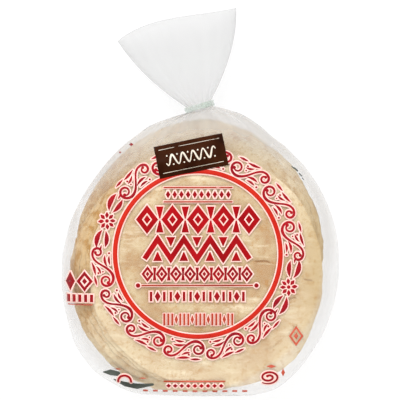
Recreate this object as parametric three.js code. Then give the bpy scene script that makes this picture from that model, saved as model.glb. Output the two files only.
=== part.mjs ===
// A clear film bag of small corn tortillas, lying on its back, with its neck gathered
// in a band of tape and the loose end of the film fanned out past the band.
//
// Units are millimetres and +Z is up.  The origin is on the floor, under the middle of
// the bag's box.  +Y runs along the bag towards the gathered neck.
//
// The bag is one closed solid, made of rows of points that run from the bottom end,
// over the stack of tortillas, through the neck and out to the mouth of the fan.

import * as THREE from 'three';

// ---------------------------------------------------------------- driving dimensions

const TORTILLA_DIAMETER = 114.3;
const TORTILLA_COUNT = 24;
const TORTILLA_PITCH = 1.65;           // thickness of one tortilla as it lies in the stack
const FILM_SLACK = 0.8;                // film above the top tortilla
const LEAST_ROOM = 1.5;                // between the stack and the outline of the bag

const PACK_CENTRE = [0, -30.75];       // middle of the round part of the bag
const TOP_TORTILLA = [2.9, -33.9];     // centre of the top tortilla
const BOTTOM_TORTILLA = [-5, -19.5];   // the stack has slumped, so the bottom one is here

// Radius of the bag about PACK_CENTRE at every 20 degrees, anticlockwise from +X.
const OUTLINE_RADII = [
  69.4, 70, 71, 72.8, 78.5, 75, 70.8, 68, 68, 69.2, 71.8, 75.5, 73.5, 67, 67, 73, 71.5, 70];
const END_HALF_ANGLE = 20;             // degrees, the bottom end is straight this far each way
const END_BULGE = 0.3;                 // its middle stands out this much
const EDGE_THICKNESS = 0.4;            // of the film where the bag is pressed flat

const FLOOR_INSET = 2.5;               // the flat underside ends this far inside the tortilla
const RIM_HEIGHT = 18;                 // widest level of the bag, as a mean round the pack
const RIM_SWING = 6;                   // lower where the bottom tortilla reaches out
const TOP_FULLNESS = 1.9;              // how round the film is from the rim up: 2 is a quarter oval
const NECK_FULLNESS = 1.35;            // drawn nearly straight where it runs to the neck
const UNDER_FULLNESS = 1.6;            // and from the rim down to the floor
const END_DROOP = 4;                   // the overhanging edge of the top tortillas hangs down
const DROOP_START = 0.8;               // from here, in radii from the bottom tortilla's centre
const DROOP_LENGTH = 0.55;             // over this many radii
const TOP_WAVE = 0.6;                  // gentle waves of the tortillas
const WAVE_SIZE = [15, 18];            // along X and Y, a sixth of each wave's length

const BAND_TILT = 16;                  // degrees, the neck leans to the left
const BAND_CENTRE = [-0.2, 47.3];
const BAND_HEIGHT = 17;                // middle of the neck above the floor
const BAND_WIDTH = 15.4;               // outside, across the neck
const BAND_DEPTH = 8.8;                // outside, through the neck
const BAND_LENGTH = 2.8;               // along the neck
const TAPE_THICKNESS = 0.4;
const TAPE_GAP = 0.3;                  // clear of the gathered film

const FAN_LEFT = [[-29, 61.5], [-41.5, 80.5]];      // bend and end of the fan's left edge
const FAN_RIGHT = [[19, 76], [18.3, 97.3]];         // bend and end of its right edge
const FAN_ARCH = 3.7;                  // the cut edge bows out between its corners
const FAN_DROP = 5;                    // the mouth hangs below the neck
const FAN_DEPTH = 6;                   // half the opening of the mouth

const PLEATS = 18;                     // gathers round the neck
const NECK_PLEAT = 0.35;               // their depth at the neck
const SHOULDER_PLEAT = 1.1;            // on the shoulders of the bag
const FAN_PLEAT = 0.55;                // and at the mouth, which is pressed nearly flat
const PLEATED_FROM = 0.62;             // share of the way from the bottom end to the neck
const PLEATED_FULLY = 0.87;
const CLOSING_FROM = 0.9;              // from here the body draws in to the neck

const COLUMNS = PLEATS * 6;            // points round each row
const BODY_ROWS = 34;
const NECK_ROWS = 3;
const FAN_ROWS = 9;

// ---------------------------------------------------------------- small helpers

const RADIANS = Math.PI / 180;
const STACK_HEIGHT = TORTILLA_COUNT * TORTILLA_PITCH + FILM_SLACK;
const TORTILLA_RADIUS = TORTILLA_DIAMETER / 2;

const mix = (from, to, share) => from + (to - from) * share;
const mixPoint = (from, to, share) => from.map((value, i) => mix(value, to[i], share));
const clamp = (value) => Math.min(1, Math.max(0, value));
const smooth = (value) => clamp(value) ** 2 * (3 - 2 * clamp(value));
const ramp = (value, from, to) => smooth((value - from) / (to - from));

// The height of a rounded shoulder: 1 where share is 0, falling to 0 where it is 1.
const shoulder = (share, fullness) => (1 - clamp(share) ** fullness) ** (1 / fullness);

// ---------------------------------------------------------------- the round of the bag

// A smooth closed curve through the radii (Catmull-Rom).
function outlineRadius(angle) {
  const count = OUTLINE_RADII.length;
  const turns = angle / (2 * Math.PI);
  const place = (turns - Math.floor(turns)) * count;
  const first = Math.floor(place);
  const t = place - first;
  const [a, b, c, d] = [-1, 0, 1, 2].map((k) => OUTLINE_RADII[(first + k + count) % count]);
  return b + 0.5 * t * (c - a + t * (2 * a - 5 * b + 4 * c - d + t * (3 * (b - c) + d - a)));
}

function outlinePoint(angle) {
  const radius = outlineRadius(angle);
  return [PACK_CENTRE[0] + radius * Math.cos(angle), PACK_CENTRE[1] + radius * Math.sin(angle)];
}

// How far a disc's edge is from PACK_CENTRE, in the direction of angle.
function discReach(centre, radius, angle) {
  const dx = centre[0] - PACK_CENTRE[0];
  const dy = centre[1] - PACK_CENTRE[1];
  const along = dx * Math.cos(angle) + dy * Math.sin(angle);
  const across = dy * Math.cos(angle) - dx * Math.sin(angle);
  return along + Math.sqrt(radius ** 2 - across ** 2);
}

// The direction in which the bottom of the stack reaches past the top of it.
const SLUMP = Math.atan2(
  BOTTOM_TORTILLA[1] - TOP_TORTILLA[1], BOTTOM_TORTILLA[0] - TOP_TORTILLA[0]);

const rimHeight = (angle) => RIM_HEIGHT - RIM_SWING * Math.cos(angle - SLUMP);

// Height of the top of the stack: level, with waves, and hanging at the overhanging end.
function stackTop(x, y) {
  const radii = Math.hypot(x - BOTTOM_TORTILLA[0], y - BOTTOM_TORTILLA[1]) / TORTILLA_RADIUS;
  const droop = END_DROOP * ramp(radii, DROOP_START, DROOP_START + DROOP_LENGTH);
  const wave = Math.sin(x / WAVE_SIZE[0] + 1) * Math.cos(y / WAVE_SIZE[1] + 2);
  return STACK_HEIGHT - TOP_WAVE * (1 + wave) - droop;
}

function bodyHeight(x, y, isTop) {
  const dx = x - PACK_CENTRE[0];
  const dy = y - PACK_CENTRE[1];
  const angle = Math.atan2(dy, dx);
  const radius = Math.hypot(dx, dy);
  const rim = rimHeight(angle);
  const reach = isTop
    ? discReach(TOP_TORTILLA, TORTILLA_RADIUS, angle)
    : discReach(BOTTOM_TORTILLA, TORTILLA_RADIUS - FLOOR_INSET, angle);
  const outline = outlineRadius(angle);
  const share = (radius - reach) / Math.max(outline - reach, LEAST_ROOM);
  const towardsNeck = smooth(Math.cos(angle - Math.PI / 2));
  const fullness = isTop ? mix(TOP_FULLNESS, NECK_FULLNESS, towardsNeck) : UNDER_FULLNESS;
  const rise = shoulder(share, fullness) * (isTop ? stackTop(x, y) - rim : rim);
  return rim + Math.max(rise, EDGE_THICKNESS / 2) * (isTop ? 1 : -1);
}

// ---------------------------------------------------------------- the neck and the fan

const TILT = BAND_TILT * RADIANS;
const ACROSS = [Math.cos(TILT), Math.sin(TILT)];       // across the neck, to the right
const ALONG = [-Math.sin(TILT), Math.cos(TILT)];       // along the neck, to the mouth
const NECK_HALF_WIDTH = BAND_WIDTH / 2 - TAPE_THICKNESS - TAPE_GAP - NECK_PLEAT;
const NECK_HALF_DEPTH = BAND_DEPTH / 2 - TAPE_THICKNESS - TAPE_GAP - NECK_PLEAT;

function neckEdge(side, along) {
  return [0, 1].map((i) => BAND_CENTRE[i] + side * NECK_HALF_WIDTH * ACROSS[i] + along * ALONG[i]);
}

const NECK_START = -BAND_LENGTH / 2 - TAPE_GAP;
const NECK_END = BAND_LENGTH / 2 + TAPE_GAP;

// A bent edge of the fan, from the neck to its corner at the mouth.
function fanEdge(side, share) {
  const [bend, corner] = side < 0 ? FAN_LEFT : FAN_RIGHT;
  const start = neckEdge(side, NECK_END);
  return mixPoint(mixPoint(start, bend, share), mixPoint(bend, corner, share), share);
}

// The gathers: even round the neck, with their spacing a little uneven.
const gather = (phi) => Math.cos(PLEATS * phi + 0.9 * Math.sin(3 * phi) + 0.6 * Math.cos(5 * phi));

// ---------------------------------------------------------------- rows of points

// phi runs round a row: 0 at its right edge, a quarter turn on top, half a turn at its left.
function rowPoint(left, right, phi, height) {
  const [x, y] = mixPoint(left, right, (1 + Math.cos(phi)) / 2);
  return [x, y, height(x, y)];
}

function bodyRow(share) {
  const turn = END_HALF_ANGLE * RADIANS;
  const start = -Math.PI / 2;
  const [rightEnd, leftEnd] = [1, -1].map((side) => {
    const [x, y] = neckEdge(side, NECK_START);
    return Math.atan2(y - PACK_CENTRE[1], x - PACK_CENTRE[0]);
  });
  const rightEdge = outlinePoint(mix(start + turn, rightEnd, share));
  const leftEdge = outlinePoint(mix(start - turn, leftEnd - 2 * Math.PI, share));
  const closing = ramp(share, CLOSING_FROM, 1);
  const right = mixPoint(rightEdge, neckEdge(1, NECK_START), closing);
  const left = mixPoint(leftEdge, neckEdge(-1, NECK_START), closing);
  const pleat = SHOULDER_PLEAT * ramp(share, PLEATED_FROM, PLEATED_FULLY) * (1 - closing);
  return (phi) => rowPoint(left, right, phi, (x, y) => {
    const body = bodyHeight(x, y, Math.sin(phi) > 0);
    const neck = BAND_HEIGHT + Math.sin(phi) * (NECK_HALF_DEPTH + NECK_PLEAT * gather(phi));
    const folded = body + pleat * gather(phi) * Math.max(0, Math.sin(phi));
    return mix(folded, neck, closing);
  });
}

function neckRow(along) {
  const [left, right] = [neckEdge(-1, along), neckEdge(1, along)];
  return (phi) => rowPoint(left, right, phi, () =>
    BAND_HEIGHT + Math.sin(phi) * (NECK_HALF_DEPTH + NECK_PLEAT * gather(phi)));
}

// The greatest value of t (1 - t)^2, a third of the way across.
const BOW_PEAK = 4 / 27;

function fanRow(share) {
  const [left, right] = [fanEdge(-1, share), fanEdge(1, share)];
  const middle = BAND_HEIGHT - FAN_DROP * share ** 1.5;
  const depth = mix(NECK_HALF_DEPTH, FAN_DEPTH, share);
  const pleat = mix(NECK_PLEAT, FAN_PLEAT, share);
  return (phi) => {
    const point = rowPoint(left, right, phi, () =>
      middle + Math.sin(phi) * (depth + pleat * gather(phi)));
    const across = (1 + Math.cos(phi)) / 2;
    const bow = FAN_ARCH * share ** 3 * across * (1 - across) ** 2 / BOW_PEAK;
    return [point[0] + bow * ALONG[0], point[1] + bow * ALONG[1], point[2]];
  };
}

// Row spacing: closer at both ends, where the bag turns fastest.
const spaced = (share) => 0.5 * share + 0.25 * (1 - Math.cos(Math.PI * share));

function bagRows() {
  const rows = [];
  for (let i = 0; i < BODY_ROWS; i++) rows.push(bodyRow(spaced(i / BODY_ROWS)));
  for (let i = 0; i <= NECK_ROWS; i++) rows.push(neckRow(mix(NECK_START, NECK_END, i / NECK_ROWS)));
  for (let i = 1; i <= FAN_ROWS; i++) rows.push(fanRow(i / FAN_ROWS));
  return rows;
}

// ---------------------------------------------------------------- pieces

// One closed skin: a pole at the bottom end, the rows, and a ladder across the mouth.
function bagGeometry() {
  const rows = bagRows();
  const [poleX, poleY] = outlinePoint(-Math.PI / 2);
  const points = [poleX, poleY - END_BULGE, rimHeight(-Math.PI / 2)];
  for (const row of rows) {
    for (let i = 0; i < COLUMNS; i++) points.push(...row((i + 0.5) / COLUMNS * 2 * Math.PI));
  }
  const vertex = (row, column) => 1 + row * COLUMNS + (column % COLUMNS);
  const faces = [];
  for (let i = 0; i < COLUMNS; i++) {
    faces.push(0, vertex(0, i), vertex(0, i + 1));
    for (let row = 1; row < rows.length; row++) {
      faces.push(vertex(row - 1, i), vertex(row, i), vertex(row, i + 1));
      faces.push(vertex(row - 1, i), vertex(row, i + 1), vertex(row - 1, i + 1));
    }
  }
  const mouth = rows.length - 1;
  for (let i = 0; i < COLUMNS / 2 - 1; i++) {
    const [low, high] = [vertex(mouth, COLUMNS - 1 - i), vertex(mouth, i)];
    const [nextLow, nextHigh] = [vertex(mouth, COLUMNS - 2 - i), vertex(mouth, i + 1)];
    faces.push(low, nextHigh, high);
    faces.push(low, nextLow, nextHigh);
  }
  const geometry = new THREE.BufferGeometry();
  geometry.setAttribute('position', new THREE.Float32BufferAttribute(points, 3));
  geometry.setIndex(faces);
  geometry.computeVertexNormals();
  return geometry;
}

// The band: an oval ring of tape, cut square at both ends.
function bandGeometry() {
  const outline = new THREE.Shape();
  outline.absellipse(0, 0, BAND_WIDTH / 2, BAND_DEPTH / 2, 0, 2 * Math.PI, false, 0);
  const hole = new THREE.Path();
  const [holeWidth, holeDepth] = [BAND_WIDTH / 2 - TAPE_THICKNESS, BAND_DEPTH / 2 - TAPE_THICKNESS];
  hole.absellipse(0, 0, holeWidth, holeDepth, 0, 2 * Math.PI, true, 0);
  outline.holes.push(hole);
  const geometry = new THREE.ExtrudeGeometry(
    outline, { depth: BAND_LENGTH, bevelEnabled: false, curveSegments: 48 });
  return geometry.translate(0, 0, -BAND_LENGTH / 2);
}

const film = new THREE.MeshStandardMaterial({
  color: 0xe9e7e2, roughness: 0.25, metalness: 0, transparent: true, opacity: 0.5 });
const tape = new THREE.MeshStandardMaterial({ color: 0xcdd5cd, roughness: 0.35, metalness: 0 });

const bag = new THREE.Mesh(bagGeometry(), film);
bag.name = 'bag';

const band = new THREE.Mesh(bandGeometry(), tape);
band.name = 'neck_band';
band.position.set(BAND_CENTRE[0], BAND_CENTRE[1], BAND_HEIGHT);
band.rotation.set(-Math.PI / 2, 0, 0);
band.rotateY(-TILT);

const pack = new THREE.Group();
pack.add(bag, band);

export default pack;
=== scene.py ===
"""A clear film bag of small corn tortillas, lying on its back on a white floor."""

import math

import bmesh
import bpy
import numpy as np
from bpy.props import FloatProperty, FloatVectorProperty, IntProperty, PointerProperty
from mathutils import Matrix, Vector
from mathutils.bvhtree import BVHTree
from mathutils.geometry import delaunay_2d_cdt


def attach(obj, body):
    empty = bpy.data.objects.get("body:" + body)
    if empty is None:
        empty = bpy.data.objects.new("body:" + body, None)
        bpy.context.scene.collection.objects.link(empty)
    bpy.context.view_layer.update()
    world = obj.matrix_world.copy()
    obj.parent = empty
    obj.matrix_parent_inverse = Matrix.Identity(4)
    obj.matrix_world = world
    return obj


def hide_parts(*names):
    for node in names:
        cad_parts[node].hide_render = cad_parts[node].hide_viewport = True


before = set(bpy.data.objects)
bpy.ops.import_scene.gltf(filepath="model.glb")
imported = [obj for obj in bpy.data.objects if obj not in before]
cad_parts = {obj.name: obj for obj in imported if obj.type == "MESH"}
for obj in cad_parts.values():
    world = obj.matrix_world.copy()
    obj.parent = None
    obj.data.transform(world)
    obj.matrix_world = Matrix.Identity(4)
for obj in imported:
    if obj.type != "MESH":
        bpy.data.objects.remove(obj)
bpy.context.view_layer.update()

bl_info = {
    "name": "Bag of Corn Tortillas",
    "version": (1, 0, 0),
    "blender": (4, 5, 0),
    "location": "View3D > Sidebar > Tortillas",
    "description": "Builds a film bag of corn tortillas, its print and a plain studio",
    "category": "Add Mesh",
}

MM = 0.001

# ---- the bag's shape, in mm

TORTILLA_DIAMETER = 114.3
TORTILLA_COUNT = 24
TORTILLA_PITCH = 1.65
TORTILLA_THICKNESS = 1.6
FILM_SLACK = 0.8  # film above the top tortilla
REST_GAP = 0.1  # between the stack and the underside of the bag
SIDE_GAP = 1.2  # between the stack and the sides of the bag
SQUEEZE = 2  # a rim that comes this near to that gap is pressed back
LEAST_ROOM = 1.5  # between the stack and the outline of the bag

PACK_CENTRE = (0.0, -30.75)
TOP_TORTILLA = (2.9, -33.9)
BOTTOM_TORTILLA = (-5.0, -19.5)
# Centres on the way up, evenly spaced: the pile leans towards the neck and back again.
STACK_PATH = (BOTTOM_TORTILLA, (-5.0, -16.5), (-5.0, -15.0), (-1.0, -16.5), (4.6, -21.0),
              (3.5, -26.0), (-3.0, -33.0), (-6.6, -38.5), (-4.5, -34.5), TOP_TORTILLA)
CORNER = -50  # degrees: here the stack is pressed into the bag's corner
CORNER_WIDTH = 26  # degrees each way, over which that fades
CORNER_PUSH = 5.2
CORNER_FROM = 0.55  # of a tortilla's radius: inside it nothing moves

OUTLINE_RADII = (69.4, 70, 71, 72.8, 78.5, 75, 70.8, 68, 68,
                 69.2, 71.8, 75.5, 73.5, 67, 67, 73, 71.5, 70)
END_HALF_ANGLE = 20
END_BULGE = 0.3
EDGE_THICKNESS = 0.4

FLOOR_INSET = 2.5
RIM_HEIGHT = 18
RIM_SWING = 6
TOP_FULLNESS = 1.9
NECK_FULLNESS = 1.35
UNDER_FULLNESS = 1.6
END_DROOP = 4
DROOP_START = 0.8
DROOP_LENGTH = 0.55
TOP_WAVE = 0.6
WAVE_SIZE = (15, 18)

BAND_TILT = 16
BAND_CENTRE = (-0.2, 47.3)
BAND_HEIGHT = 17
BAND_WIDTH = 15.4
BAND_DEPTH = 8.8
BAND_LENGTH = 2.8
TAPE_THICKNESS = 0.4
TAPE_GAP = 0.3

FAN_LEFT = ((-29, 61.5), (-41.5, 80.5))
FAN_RIGHT = ((19, 76), (18.3, 97.3))
FAN_ARCH = 3.7
FAN_DROP = 5
FAN_DEPTH = 6

PLEATS = 18
NECK_PLEAT = 0.35
SHOULDER_PLEAT = 1.1
FAN_CREASE = 0.1  # the open end is drawn flatter than its solid
PLEATED_FROM = 0.62
PLEATED_FULLY = 0.87
CLOSING_FROM = 0.9
GATHER_DRIFT = (0.9, 0.6)  # how uneven the gathers are, in threes and in fives round the neck
FAN_FLATTENED = 0.3  # share of the fan over which its creases run out
DROOP_CURVE = 1.5

STACK_HEIGHT = TORTILLA_COUNT * TORTILLA_PITCH + FILM_SLACK
TORTILLA_RADIUS = TORTILLA_DIAMETER / 2
NECK_START = -BAND_LENGTH / 2 - TAPE_GAP
NECK_END = BAND_LENGTH / 2 + TAPE_GAP
NECK_HALF_WIDTH = BAND_WIDTH / 2 - TAPE_THICKNESS - TAPE_GAP - NECK_PLEAT
NECK_HALF_DEPTH = BAND_DEPTH / 2 - TAPE_THICKNESS - TAPE_GAP - NECK_PLEAT
TILT = math.radians(BAND_TILT)
ACROSS = np.array((math.cos(TILT), math.sin(TILT)))
ALONG = np.array((-math.sin(TILT), math.cos(TILT)))
SLUMP = math.atan2(BOTTOM_TORTILLA[1] - TOP_TORTILLA[1], BOTTOM_TORTILLA[0] - TOP_TORTILLA[0])

# ---- the film's look

FILM_COLUMNS = 16 * PLEATS
BODY_ROWS, NECK_ROWS, FAN_ROWS = 115, 6, 42

# Where it is milky: beside the stack this is painted shade, and in the gathers partly a
# painted sheen. Pairs give where that begins and where it is full.
GATHER_MIDDLE = 97  # degrees: the gathers are milkiest on this side
GATHER_SPREAD = (0.45, 0.85)  # cosine of the angle from there
GATHERS = (2, 14)  # mm outside the top tortilla
BESIDE_INNER = (-2, 1.5)  # mm outside the widest of the stack
BESIDE_OUTER = (-7, -1)  # mm inside that, with the sign turned round
# How milky it is against the gathers.
FAN_MILK = (1.15, 2.3)  # the fan, from its neck to its open end; the rise evens out the light along it: painted shade at the bright open end, painted light at the shaded neck
# Beside the stack the milkiness is painted shade: the film is greyer along the stack's edge.
BESIDE_SHADE = 0.5
HAZE = (0.01, 0.15)  # share of the veil in the clear film: face on, edge on
GATHER_HAZE = 0.27  # and what the gathers add to it, partly as a painted sheen

# Its slack, in mm, with heights in shares of the wrinkle depth.
SIDE_START = (-2, 8)  # outside the top tortilla
NECK_CALM = (1, 6)  # before the neck: no folds there, and all of them
SIDE_FOLD = 4.5  # half the spacing of the folds down its sides
SIDE_FOLD_RADIUS = 60  # round the middle of the pack, where that is so
SIDE_FOLD_RISE = 0.35  # they run upwards, so height counts for less
SIDE_FOLD_HEIGHT = 0.7
SIDE_SINK = 0.5  # between its folds the side lies this much further in
FINE_FOLD = 5
FINE_HEIGHTS = (0.075, 0.225)  # of fine folds on top and on the side
UPRIGHT_FOLDS = 0.2  # what is left of the folds where the film stands upright
FILM_REST = 0.02  # no fold goes lower than this over the floor
RESTING_BELOW = 0.05  # and film as low as this has none

# ---- the view

IMAGE_WIDTH = 400
IMAGE_MIDDLE = (199.5, 200.5)  # the pixel that the part's origin falls on
CAMERA_HEIGHT = 1040  # mm above the floor
MM_PER_PIXEL = 0.5  # at half the height of the stack
SENSOR = 36

# The same, on top of the stack, where the print lies.
TOP_MM_PER_PIXEL = MM_PER_PIXEL * (CAMERA_HEIGHT - STACK_HEIGHT) / (CAMERA_HEIGHT - STACK_HEIGHT / 2)


def on_top(x, y):
    """Where a pixel of the view falls on top of the stack, in mm."""
    return np.array(((x - IMAGE_MIDDLE[0]), (IMAGE_MIDDLE[1] - y))) * TOP_MM_PER_PIXEL


# ---- numbers and curves

def mix(start, end, share):
    return start + (end - start) * share


def ramp(value, start, end):
    """0 up to start, 1 from end, and smooth between."""
    share = np.clip((value - start) / (end - start), 0, 1)
    return share * share * (3 - 2 * share)


def shoulder(share, fullness):
    """The height of a rounded shoulder: 1 where share is 0, falling to 0 where it is 1."""
    return (1 - np.clip(share, 0, 1) ** fullness) ** (1 / fullness)


def wavering_line(x, y, ends, sway, pitch, parts):
    """How far across a wavering line each place is, and how strong the line is there: it fades
    over one of so many parts of its length at either end. Its ends are pixels of the view."""
    start, end = (on_top(*place) for place in ends)
    length = np.hypot(*(end - start))
    way = (end - start) / length
    along = (x - start[0]) * way[0] + (y - start[1]) * way[1]
    across = (y - start[1]) * way[0] - (x - start[0]) * way[1]
    across = across + sway * np.sin(along / pitch + ends[0][0])
    return across, ramp(along, 0, length / parts) * ramp(-along, -length, length / parts - length)


def ripples(x, y, size, seed, waves=7):
    """Gentle unevenness between about -1 and 1, with bumps of this size."""
    draw = np.random.default_rng(seed)
    total = 0
    for _ in range(waves):
        turn, phase = draw.uniform(0, 2 * math.pi, 2)
        pitch = 2 * math.pi / (2 * size * draw.uniform(0.7, 1.5))
        total = total + np.cos(pitch * (x * math.cos(turn) + y * math.sin(turn)) + phase)
    return total / math.sqrt(waves)


# ---- the bag's surface

def outline_radius(angle):
    """Radius of the bag about PACK_CENTRE: a closed smooth curve through OUTLINE_RADII."""
    radii = np.array(OUTLINE_RADII, float)
    count = len(radii)
    place = (angle / (2 * math.pi)) % 1 * count
    first = np.floor(place).astype(int)
    t = place - first
    a, b, c, d = (radii[(first + k) % count] for k in (-1, 0, 1, 2))
    return b + 0.5 * t * (c - a + t * (2 * a - 5 * b + 4 * c - d + t * (3 * (b - c) + d - a)))


def outline_point(angle):
    return np.array(off_middle(angle, outline_radius(angle)))


def disc_reach(centre, radius, angle):
    """How far a disc's edge is from PACK_CENTRE, in the direction of angle."""
    dx, dy = np.subtract(centre, PACK_CENTRE)
    along = dx * np.cos(angle) + dy * np.sin(angle)
    across = dy * np.cos(angle) - dx * np.sin(angle)
    return along + np.sqrt(radius ** 2 - across ** 2)


def stack_sag(x, y):
    """How far the top of the stack lies below a level plane: waves, and a hanging edge."""
    radii = np.hypot(x - BOTTOM_TORTILLA[0], y - BOTTOM_TORTILLA[1]) / TORTILLA_RADIUS
    wave = np.sin(x / WAVE_SIZE[0] + 1) * np.cos(y / WAVE_SIZE[1] + 2)
    return TOP_WAVE * (1 + wave) + END_DROOP * ramp(radii, DROOP_START, DROOP_START + DROOP_LENGTH)


def wall(angle, is_top):
    """(inner edge, outline, rim height, fullness) of the bag's wall in this direction."""
    outline = outline_radius(angle)
    rim = RIM_HEIGHT - RIM_SWING * np.cos(angle - SLUMP)
    if is_top:
        reach = disc_reach(TOP_TORTILLA, TORTILLA_RADIUS, angle)
        towards_neck = ramp(np.cos(angle - math.pi / 2), 0, 1)
        return reach, outline, rim, mix(TOP_FULLNESS, NECK_FULLNESS, towards_neck)
    reach = disc_reach(BOTTOM_TORTILLA, TORTILLA_RADIUS - FLOOR_INSET, angle)
    return reach, outline, rim, UNDER_FULLNESS


def polar(x, y):
    dx, dy = x - PACK_CENTRE[0], y - PACK_CENTRE[1]
    return np.arctan2(dy, dx), np.hypot(dx, dy)


def off_middle(angle, radius):
    """The place that is this far from the middle of the pack."""
    return PACK_CENTRE[0] + radius * np.cos(angle), PACK_CENTRE[1] + radius * np.sin(angle)


def body_height(x, y, is_top):
    angle, radius = polar(x, y)
    reach, outline, rim, fullness = wall(angle, is_top)
    share = (radius - reach) / np.maximum(outline - reach, LEAST_ROOM)
    full = STACK_HEIGHT - stack_sag(x, y) - rim if is_top else rim
    rise = np.maximum(shoulder(share, fullness) * full, EDGE_THICKNESS / 2)
    return rim + rise if is_top else rim - rise


def body_reach(angle, z):
    """How far the film is from PACK_CENTRE at this height."""
    limits = []
    for is_top in (True, False):
        reach, outline, rim, fullness = wall(angle, is_top)
        full = STACK_HEIGHT - rim if is_top else rim
        height = (z - rim) / full if is_top else (rim - z) / full
        limits.append(reach + np.maximum(outline - reach, 0) * shoulder(height, fullness))
    return np.where(z > RIM_HEIGHT - RIM_SWING * np.cos(angle - SLUMP), limits[0], limits[1])


def neck_edge(side, along):
    return np.array(BAND_CENTRE) + side * NECK_HALF_WIDTH * ACROSS + along * ALONG


def fan_edge(side, share):
    bend, corner = (np.array(p, float) for p in (FAN_LEFT if side < 0 else FAN_RIGHT))
    start = neck_edge(side, NECK_END)
    return mix(mix(start, bend, share), mix(bend, corner, share), share)


def gather(phi):
    """The gathers round the neck, with their spacing a little uneven."""
    threes, fives = GATHER_DRIFT
    return np.cos(PLEATS * phi + threes * np.sin(3 * phi) + fives * np.cos(5 * phi))


def neck_height(phi):
    return BAND_HEIGHT + np.sin(phi) * (NECK_HALF_DEPTH + NECK_PLEAT * gather(phi))


def row_points(left, right, phi):
    """The places of one row: phi goes round it from the right, and is half round at the left."""
    return mix(left, right, ((1 + np.cos(phi)) / 2)[:, None])


def body_row(share, phi):
    """A row of the body, at this share of the way from the bottom end to the neck."""
    closing = ramp(share, CLOSING_FROM, 1)
    edges = []
    for side, whole_turn in ((-1, 2 * math.pi), (1, 0)):
        end = neck_edge(side, NECK_START)
        first = -math.pi / 2 + side * math.radians(END_HALF_ANGLE)
        last = polar(*end)[0] - whole_turn
        edges.append(mix(outline_point(mix(first, last, share)), end, closing))
    points = row_points(*edges, phi)
    x, y = points.T
    up = np.sin(phi)
    body = np.where(up > 0, body_height(x, y, True), body_height(x, y, False))
    pleat = SHOULDER_PLEAT * ramp(share, PLEATED_FROM, PLEATED_FULLY) * (1 - closing)
    folded = body + pleat * gather(phi) * np.maximum(0, up)
    return np.column_stack((points, mix(folded, neck_height(phi), closing)))


def neck_row(along, phi):
    points = row_points(neck_edge(-1, along), neck_edge(1, along), phi)
    return np.column_stack((points, neck_height(phi)))


def fan_row(share, phi):
    """A row of the fanned end, at this share of the way from the neck to the mouth."""
    points = row_points(fan_edge(-1, share), fan_edge(1, share), phi)
    across = (1 + np.cos(phi)) / 2
    bow = FAN_ARCH * share ** 3 * across * (1 - across) ** 2 * 27 / 4
    points = points + bow[:, None] * ALONG
    depth = mix(NECK_HALF_DEPTH, FAN_DEPTH, share)
    pleat = mix(NECK_PLEAT, FAN_CREASE, ramp(share, 0, FAN_FLATTENED))
    middle = BAND_HEIGHT - FAN_DROP * share ** DROOP_CURVE
    return np.column_stack((points, middle + np.sin(phi) * (depth + pleat * gather(phi))))


# ---- colours and nodes

def srgb(hex_colour):
    """A hex colour as linear red, green, blue and alpha."""
    channels = [int(hex_colour[i:i + 2], 16) / 255 for i in (1, 3, 5)]
    curve = [c / 12.92 if c <= 0.04045 else ((c + 0.055) / 1.055) ** 2.4 for c in channels]
    return (*curve, 1.0)


def add_node(tree, kind, inputs=(), **settings):
    """A new node of this kind with these settings. Its inputs, by name or in order, are values
    or what feeds them: an output, or a node, which feeds from its first output in use."""
    node = tree.nodes.new(kind)
    for name, value in settings.items():
        setattr(node, name, value)
    if isinstance(inputs, dict):
        fed = [(node.inputs[name], value) for name, value in inputs.items()]
    else:
        fed = zip([socket for socket in node.inputs if socket.enabled], inputs)
    for socket, value in fed:
        if isinstance(value, bpy.types.Node):
            value = next(output for output in value.outputs if output.enabled)
        if isinstance(value, bpy.types.NodeSocket):
            tree.links.new(value, socket)
        else:
            socket.default_value = value
    return node


def chained(tree, kind, value, *steps):
    """The last of a row of nodes of one kind. Each works on the one before it, and has its
    operation and its own terms."""
    for operation, *terms in steps:
        value = add_node(tree, kind, (value, *terms), operation=operation)
    return value


# In order, a noise takes its place, scale, detail and roughness, and a map range takes its value,
# the range that it comes from and the range that it goes to.

def new_material(name):
    """A material with no nodes yet, its tree, and the places that its patterns follow."""
    material = bpy.data.materials.new(name)
    material.use_nodes = True
    tree = material.node_tree
    tree.nodes.clear()
    return material, tree, add_node(tree, "ShaderNodeTexCoord").outputs["Object"]


def finish_material(material, shader):
    add_node(material.node_tree, "ShaderNodeOutputMaterial", {"Surface": shader})
    return material


def layered(tree, tone, layers):
    """A first tone with others laid over it. Each covers by the product of its map ranges."""
    for over, *ranges in layers:
        share, *others = [add_node(tree, "ShaderNodeMapRange", values) for values in ranges]
        share = chained(tree, "ShaderNodeMath", share, *(("MULTIPLY", other) for other in others))
        tone = add_node(tree, "ShaderNodeMix", (share, tone, over), data_type="RGBA")
    return tone


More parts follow.
